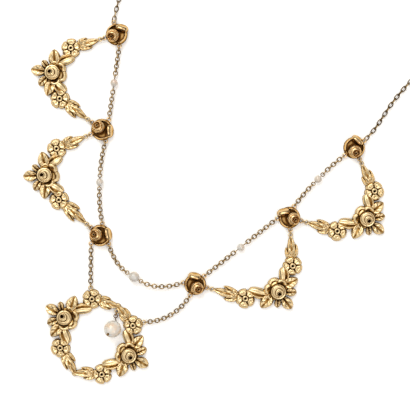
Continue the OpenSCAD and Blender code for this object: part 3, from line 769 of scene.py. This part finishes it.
# The cast grain: scale of its noise, strength, and height in metres.
GRAIN_SCALE = 5200
GRAIN_STRENGTH = 0.25
GRAIN_HEIGHT = 0.00002
# Drawn wire: the heights, in millimetres, between which its painted shade goes from darkest low
# down near the flat back to lightest on top, what they add to its shade, and its roughness where
# it is darkest and where it is brightest.
WIRE_HEIGHTS = (0.45, 1.5)
WIRE_SHIFTS = (-0.5, 0.2)
WIRE_ROUGH = (0.5, 0.22)
# The scale of the noise that clouds a pearl.
CLOUD_SCALE = 420


def set_inputs(node, values):
    """Sets the node's inputs, each by its name or place, to a value or to another node's output."""
    for key, value in values.items():
        if isinstance(value, bpy.types.NodeSocket):
            node.id_data.links.new(value, node.inputs[key])
        else:
            node.inputs[key].default_value = value


def node_maker(tree):
    """A function that adds a node of some kind to the tree and sets its inputs and properties."""
    def node(kind, inputs=None, **properties):
        made = tree.nodes.new(kind)
        for key, value in properties.items():
            setattr(made, key, value)
        set_inputs(made, inputs or {})
        return made

    return node


def shader(name):
    """A new node material: itself, its surface shader, and a maker of its nodes."""
    material = bpy.data.materials.new(name)
    material.use_nodes = True
    return material, material.node_tree.nodes["Principled BSDF"], node_maker(material.node_tree)


def ramp_of(node, by, points):
    """The colour at the output by, from a ramp through the given positions and colours."""
    ramp = node("ShaderNodeValToRGB", {"Fac": by})
    elements = ramp.color_ramp.elements
    while len(elements) < len(points):
        elements.new(0.5)
    for element, (at, colour) in zip(elements, points):
        element.position = at
        element.color = (*colour, 1)
    return ramp.outputs["Color"]


def range_of(node, by, **limits):
    """The output by carried from one range to another. Left out, a range is 0 to 1."""
    names = {key.replace("_", " ").title(): value for key, value in limits.items()}
    return node("ShaderNodeMapRange", {"Value": by, **names}).outputs["Result"]


def noise(node, scale, detail=2):
    """A soft noise that stays with the object."""
    vector = node("ShaderNodeTexCoord").outputs["Object"]
    inputs = {"Vector": vector, "Scale": scale, "Detail": detail}
    return node("ShaderNodeTexNoise", inputs).outputs["Fac"]


def math_node(node, operation, *values):
    """The result of the operation on the values, kept from 0 to 1."""
    made = node("ShaderNodeMath", dict(enumerate(values)), operation=operation, use_clamp=True)
    return made.outputs[0]


def cast_gold(name, bright, middle, deep, rough, hollow_rough):
    """Worn antique gold: dark in the hollows with patina and painted shade, bright and smoother on
    the high places, with a fine cast grain. Its shade is the mark of the hollows with a noise, less
    that of the high places. deep holds the two darkest shades' colours."""
    material, surface, node = shader(name)
    hollow, proud = (node("ShaderNodeAttribute", attribute_name=mark).outputs["Fac"]
                     for mark in ("hollow", "proud"))
    uneven = range_of(node, noise(node, PATCH_SCALE, 3), to_min=-PATCH_SHIFT, to_max=PATCH_SHIFT)
    # The hollow mark adds painted shade, with patina, to the colour.
    dark = math_node(node, "ADD", hollow, uneven)
    shade = math_node(node, "MULTIPLY_ADD", proud, PROUD_SHIFT, dark)
    colours = ((0.0, bright), (0.18, middle), (0.5, deep[0]), (0.85, deep[1]))
    bump = node("ShaderNodeBump", {"Height": noise(node, GRAIN_SCALE), "Strength": GRAIN_STRENGTH,
                                   "Distance": GRAIN_HEIGHT})
    set_inputs(surface, {
        "Base Color": ramp_of(node, shade, colours),
        "Roughness": range_of(node, shade, from_max=ROUGHEST_AT, to_min=rough, to_max=hollow_rough),
        "Metallic": 1.0, "Specular Tint": (*EDGE_TINT, 1), "Normal": bump.outputs["Normal"]})
    return material


def wire_gold(name, darkest_gold, middle, brightest_gold):
    """Drawn gold wire with painted shade: darker and browner low down towards the flat back and
    lighter on top, and uneven in patches. The shade goes with the height above the flat back, plus
    a noise."""
    material, surface, node = shader(name)
    place = node("ShaderNodeSeparateXYZ", {0: node("ShaderNodeTexCoord").outputs["Object"]})
    # Painted shade: the wire darkens with nearness to the flat back.
    height_shade = range_of(node, place.outputs["Z"], from_min=WIRE_HEIGHTS[0] * MM,
                    from_max=WIRE_HEIGHTS[1] * MM, to_min=WIRE_SHIFTS[0], to_max=WIRE_SHIFTS[1])
    shade = math_node(node, "ADD", noise(node, PATCH_SCALE), height_shade)
    set_inputs(surface, {
        "Base Color": ramp_of(node, shade, ((0.25, darkest_gold), (0.55, middle), (0.9, brightest_gold))),
        "Roughness": range_of(node, shade, to_min=WIRE_ROUGH[0], to_max=WIRE_ROUGH[1]),
        "Metallic": 1.0, "Specular Tint": (*EDGE_TINT, 1)})
    return material


def pearl_lustre(name, rosy, body, cool):
    """Pearl: a soft body with faint rosy and cool clouds under a clear coat."""
    material, surface, node = shader(name)
    clouds = noise(node, CLOUD_SCALE)
    set_inputs(surface, {
        "Base Color": ramp_of(node, clouds, ((0.35, rosy), (0.5, body), (0.65, cool))),
        "Roughness": 0.25, "Subsurface Weight": 0.15, "Subsurface Radius": (0.5, 0.35, 0.3),
        "Subsurface Scale": 0.0006, "Coat Weight": 0.7, "Coat Roughness": 0.1})
    return material


# The deep colours of cast gold serve both its patina and the painted shade in its hollows.
GARLAND_GOLD = cast_gold("garland_gold", (0.68, 0.53, 0.305), (0.43, 0.27, 0.09),
                         ((0.15, 0.07, 0.014), (0.035, 0.014, 0.002)), 0.32, 0.5)
ROSE_GOLD = cast_gold("chain_rose_gold", (0.68, 0.48, 0.25), (0.5, 0.32, 0.13),
                      ((0.3, 0.145, 0.034), (0.1, 0.043, 0.009)), 0.26, 0.45)
WIRE_GOLD = wire_gold("wire_gold", (0.07, 0.04, 0.013), (0.27, 0.18, 0.08), (0.58, 0.43, 0.24))
# A darker copy of the wire gold: painted shade for the drop's crowded pin and ring.
SHADED_WIRE = wire_gold("shaded_wire", (0.06, 0.03, 0.01), (0.2, 0.115, 0.045), (0.42, 0.28, 0.14))
SMALL_PEARL = pearl_lustre("small_pearl", (0.58, 0.46, 0.38), (0.58, 0.51, 0.43), (0.56, 0.54, 0.51))
DROP_PEARL = pearl_lustre("drop_pearl", (0.70, 0.52, 0.37), (0.68, 0.61, 0.53), (0.68, 0.69, 0.68))


# Castings, each a piece in the place of its solid

def hanger_end(hanger):
    """The direction of the wreath's loop for a hanger, and the loop's middle."""
    turn = WREATH_FLOWERS[hanger.flower]
    return turn, polar(WREATH_R + FLOWER_R + LOOP_R, turn)


def garland(g):
    """A garland with a loop at each end."""
    ends = [garland_loop(g, e) for e in (0, 1)]
    sides = [garland_side(g, e) for e in (0, 1)]
    tips = [end + polar(LOOP_R, side) for end, side in zip(ends, sides)]
    skins = spray(garland_mid(g), g.turn, g.curve, g.flowers, tips)
    for end, side in zip(ends, sides):
        skins += loop(end, side + 180)
    return skins


def wreath():
    """The wreath: two garlands that meet in a circle, a mound of solder at each meeting, and the
    loops for the hangers and the drop."""
    skins = []
    for k, (turn, flowers) in enumerate(HALVES):
        tips = [wreath_tip(k, -SPRIG_PAST), wreath_tip(1 - k, SPRIG_PAST)]
        skins += spray(np.zeros(2), turn, WREATH_R, flowers, tips)
    for m in (0, 1):
        skins.append(moved(post(MEETING_R, MEETING_H), wreath_tip(m, 0)))
    for hanger in HANGERS:
        turn, at = hanger_end(hanger)
        skins += loop(at, turn)
    return skins + loop(wreath_tip(0, 0) + polar(DROP_LOOP_OUT, DROP_TURN), DROP_TURN)


def add_castings():
    """The chain roses, the garlands and the wreath."""
    for i in range(len(ROSES)):
        add_piece(f"chain_rose_{i + 1}", f"rose_{i + 1}", chain_rose(i), ROSE_GOLD, rose_marks)
    for i, g in enumerate(GARLANDS, 1):
        add_piece(f"flower_garland_{i}", f"garland_{i}", garland(g), GARLAND_GOLD, cast_marks)
    add_piece("flower_wreath", "wreath", wreath(), GARLAND_GOLD, cast_marks)


# Chains

def raised(p, z):
    """The flat point p at the height z."""
    return np.array([p[0], p[1], z])


def unit(v):
    """The vector v made 1 long."""
    return v / np.linalg.norm(v)


def left_of(v):
    """The level direction to the left of v."""
    return unit(np.array([-v[1], v[0], 0]))


def distances(line):
    """How far along the line each of its points lies."""
    return np.concatenate([[0], np.cumsum(np.linalg.norm(np.diff(line, axis=0), axis=1))])


def placed_link(shape, way, lean, middle):
    """The link shape with its length along way. It lies level at a lean of 0 and stands at 90."""
    side = unit(np.cross([0, 0, 1], way))
    a = math.radians(lean)
    over = math.cos(a) * side + math.sin(a) * np.cross(way, side)
    return hoop(shape["rings"] @ np.array([way, over, np.cross(way, over)]) + middle)


# Back chain: the line through the middle of the clasp, and the route of one side from the rose to
# the clasp, measured from that line, as in the solids.

AXIS_X = 2.8
CHAIN_ROUTE = (
    (40.2, 87.5), (41.4, 97), (44.2, 107.5), (48, 118.5), (50.6, 130), (50.8, 142), (48.6, 153.5),
    (43.8, 164), (36.4, 173), (27, 180), (16.6, 184.6), (8.4, 185.6))
# The chain's outer size, wire, distance from link to link, lean, gap over the board, how far a link
# runs past its pitch at each end, in wires, and how far an end link lies from its loop's middle.
# Then the clasp's loops: how far they lie from that line, and their height.
CHAIN_D = 1.3
CHAIN_WIRE = 0.3
CHAIN_PITCH = 1.43
CHAIN_LEAN = 10
CHAIN_LIFT = 0.02
CHAIN_OVERLAP = 0.9
CHAIN_END = 0.2
CLASP_LOOP_X = 4.5
CLASP_Z = 1.3


def smooth_line(points, steps=40):
    """A curve through the points, each stretch a cubic whose slope at a point is half of the way
    from the point before to the point after."""
    p = np.vstack([points[:1], points, points[-1:]])
    t = np.arange(steps)[None, :, None] / steps
    a, b, c, d = (p[k:len(p) - 3 + k, None, :] for k in range(4))
    square, cube = 2 * a - 5 * b + 4 * c - d, 3 * b - a - 3 * c + d
    line = (2 * b + (c - a) * t + square * t ** 2 + cube * t ** 3) / 2
    return np.vstack([line.reshape(-1, 3), points[-1:]])


def back_chain(e):
    """Oval links along the route, a pitch apart. They lie and stand in turn, and all lean over a
    little. Each lies along the line between its ends."""
    side = 1 if e == 0 else -1
    rose, turn = BACK_LOOPS[e]
    start = raised(rose_loop(rose, turn) + polar(CHAIN_END, turn), LOOP_Z)
    z = CHAIN_D / 2 + CHAIN_LIFT
    route = [(AXIS_X + side * x, y, z) for x, y in CHAIN_ROUTE]
    clasp_end = (AXIS_X + side * (CLASP_LOOP_X + CHAIN_END), CLASP_AT[1], CLASP_Z)
    line = smooth_line(np.array([start, *route, clasp_end]))
    far = distances(line)
    count = 2 * round((far[-1] / CHAIN_PITCH - 1) / 2) + 1
    pitch = far[-1] / count
    marks = np.arange(count + 1) * pitch
    ends = np.stack([np.interp(marks, far, line[:, k]) for k in range(3)], -1)
    half_length = pitch / 2 + CHAIN_WIRE * CHAIN_OVERLAP
    shape = link(half_length, (CHAIN_D - CHAIN_WIRE) / 2, CHAIN_WIRE, 14, 6)
    return [placed_link(shape, unit(b - a), CHAIN_LEAN + 90 * (k % 2), (a + b) / 2)
            for k, (a, b) in enumerate(zip(ends[:-1], ends[1:]))]


# Swags and hangers: the distance from link to link, the play of the end links, the wire, how much
# longer than its pitch and wire a link is, its outer width, the lean in the middle of a run, and
# the steps that a run is measured in.

LINK_PITCH = 1.05
LINK_PLAY = 0.12
LINK_WIRE = 0.32
LINK_SLACK = 0.05
LINK_WIDTH = 1.42
LINK_LEAN = 12
RUN_STEPS = 40
# The wire between a pearl and the loop of its pin, and the gap under a pearl.
PIN_NECK = 0.3
PEARL_LIFT = 0.05


def bowed(a, b, bow, t):
    """The point at the share t of the way from a to b, moved by the vector bow times 4t (1 - t)."""
    return a + (b - a) * t + bow * 4 * t * (1 - t)


def bowed_way(a, b, bow, t):
    """The direction of the bowed run from a to b at the share t."""
    return unit(b - a + bow * 4 * (1 - 2 * t))


def chain_run(a, b, bow, odd):
    """Links along a bowed run from a to b. They stand and lie in turn, and lean over together
    towards the middle. Their count is odd if asked."""
    t = np.linspace(0, 1, RUN_STEPS + 1)
    far = distances(bowed(a, b, bow, t[:, None]))
    inset = LOOP_R - LOOP_WIRE / 2
    span = far[-1] - 2 * inset + LINK_PLAY
    count = 2 * round((span / LINK_PITCH - 1) / 2) + 1 if odd else round(span / LINK_PITCH)
    pitch = span / count
    half_length = (pitch + LINK_WIRE + LINK_SLACK) / 2
    shape = link(half_length, (LINK_WIDTH - LINK_WIRE) / 2, LINK_WIRE, 24, 8)
    skins = []
    for k in range(count):
        share = np.interp(inset + (pitch - LINK_PLAY) / 2 + k * pitch, far, t)
        lean = 90 * (1 - k % 2) + LINK_LEAN * math.sin(math.pi * (k + 0.5) / count)
        middle = bowed(a, b, bow, share)
        skins.append(placed_link(shape, bowed_way(a, b, bow, share), lean, middle))
    return skins


def swag_chain(swag):
    """The two runs of a swag, from each rose's loop to the pearl's pin."""
    ends = [raised(rose_loop(rose, turn), LOOP_Z) for rose, turn in zip(swag.roses, swag.turns)]
    bow = left_of(ends[1] - ends[0]) * swag.bow
    pearl = bowed(*ends, bow, swag.share)
    pearl[2] = max(LOOP_Z, swag.pearl_d / 2 + PEARL_LIFT)
    way = bowed_way(*ends, bow, swag.share)
    reach = swag.pearl_d / 2 + PIN_NECK + LOOP_R
    skins = []
    for start, s, part in zip(ends, (-1, 1), (swag.share, 1 - swag.share)):
        skins += chain_run(start, pearl + way * reach * s, bow * part ** 2, False)
    return skins


def hanger_chain(hanger):
    """The run of a hanger, from its rose's loop to the wreath's."""
    start = raised(rose_loop(hanger.rose, hanger.turn), LOOP_Z)
    end = raised(hanger_end(hanger)[1], LOOP_Z)
    return chain_run(start, end, left_of(end - start) * hanger.bow, True)


def add_chains():
    """The back chain's halves, and the chains of the swags and the hangers."""
    for e in (0, 1):
        add_piece(f"fine_chain_{e + 1}", f"back_chain_{e + 1}", back_chain(e), WIRE_GOLD)
    for i, swag in enumerate(SWAGS, 1):
        add_piece(f"swag_chain_{i}", f"swag_{i}", swag_chain(swag), WIRE_GOLD)
    for i, hanger in enumerate(HANGERS, 1):
        add_piece(f"hanger_chain_{i}", f"hanger_{i}", hanger_chain(hanger), WIRE_GOLD)


# Solids that stay as they are: pearls, pins, rings and clasp

def finish_of(name):
    """The finish of the solid with the given name."""
    if name == "drop_pearl":
        return DROP_PEARL
    # The drop's pin and ring take the darker wire, which paints shade on them.
    if name.startswith("drop_"):
        return SHADED_WIRE
    if name.startswith("pearl_") and not name.startswith("pearl_pin"):
        return SMALL_PEARL
    return WIRE_GOLD


def finish_solids():
    """Gives each solid that no piece replaces its finish."""
    for name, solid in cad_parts.items():
        if not solid.hide_render:
            for slot in solid.material_slots:
                slot.material = finish_of(name)


# Floor and light. Places and sizes are in metres here.

FLOOR_HALF = 2.5
BOARD_GLOW = 0.12
# The studio's brightness at the sine of the height, and its strength. The key light's direction,
# the tints on its side and on the far side, and how far round one changes into the other.
CEILING = ((0.0, 0.35), (0.06, 0.12), (0.42, 0.16), (0.6, 0.8), (0.75, 1.16), (0.92, 1.12), (1.0, 1.08))
STUDIO_STRENGTH = 0.9
KEY_TURN = 160
KEY_TINT = (1.28, 1.27, 1.2)
AWAY_TINT = (0.78, 0.71, 0.66)
TINT_REACH = 0.8


def lay_floor():
    """A pale board under the necklace."""
    corners = np.array([(-1, -1, 0), (1, -1, 0), (1, 1, 0), (-1, 1, 0)], float) * FLOOR_HALF
    mesh = bpy.data.meshes.new("board")
    mesh.from_pydata(corners.tolist(), [], [(0, 1, 2, 3)])
    material, surface, _ = shader("board")
    set_inputs(surface, {"Base Color": (0.97, 0.965, 0.96, 1), "Roughness": 0.8,
                         "Emission Color": (1, 1, 1, 1), "Emission Strength": BOARD_GLOW})
    mesh.materials.append(material)
    board = bpy.data.objects.new("board", mesh)
    bpy.context.scene.collection.objects.link(board)


def light(name, at, size, power, colour):
    """A soft square light that faces the middle of the view."""
    data = bpy.data.lights.new(name, "AREA")
    data.size = size
    data.energy = power
    data.color = colour
    lamp = bpy.data.objects.new(name, data)
    out = np.array(at) - VIEW_MIDDLE
    lamp.location = at
    flat = math.hypot(out[0], out[1])
    lamp.rotation_euler = (math.atan2(flat, out[2]), 0, math.atan2(out[0], -out[1]))
    bpy.context.scene.collection.objects.link(lamp)


def set_world():
    """A studio with a bright ceiling and dark walls, so that metal shows both. Its brightness goes
    with the height of the direction, and is greater and less rosy on the side of the key light."""
    world = bpy.data.worlds.new("studio")
    bpy.context.scene.world = world
    world.use_nodes = True
    node = node_maker(world.node_tree)
    way = node("ShaderNodeTexCoord").outputs["Generated"]
    height = node("ShaderNodeSeparateXYZ", {0: way}).outputs["Z"]
    ceiling = ramp_of(node, height, [(at, (grey, grey, grey)) for at, grey in CEILING])
    side = node("ShaderNodeVectorMath", {0: way, 1: (*polar(1, KEY_TURN), 0)}, operation="DOT_PRODUCT")
    share = range_of(node, side.outputs["Value"], from_min=-TINT_REACH, from_max=TINT_REACH)
    # A colour mix takes its share at place 0 and its colours at 6 and 7, and gives its colour at 2.
    tints = {0: share, 6: (*AWAY_TINT, 1), 7: (*KEY_TINT, 1)}
    tint = node("ShaderNodeMix", tints, data_type="RGBA").outputs[2]
    both = node("ShaderNodeMix", {0: 1, 6: ceiling, 7: tint}, data_type="RGBA", blend_type="MULTIPLY")
    set_inputs(world.node_tree.nodes["Background"],
               {"Color": both.outputs[2], "Strength": STUDIO_STRENGTH})


add_castings()
add_chains()
finish_solids()
lay_floor()
light("key", at=(-0.35, 0.25, 0.5), size=0.4, power=2.4, colour=(1, 0.99, 0.95))
light("fill", at=(0.4, -0.2, 0.5), size=0.35, power=1.1, colour=(1, 0.97, 0.95))
set_world()
bpy.context.scene.view_settings.view_transform = "Standard"
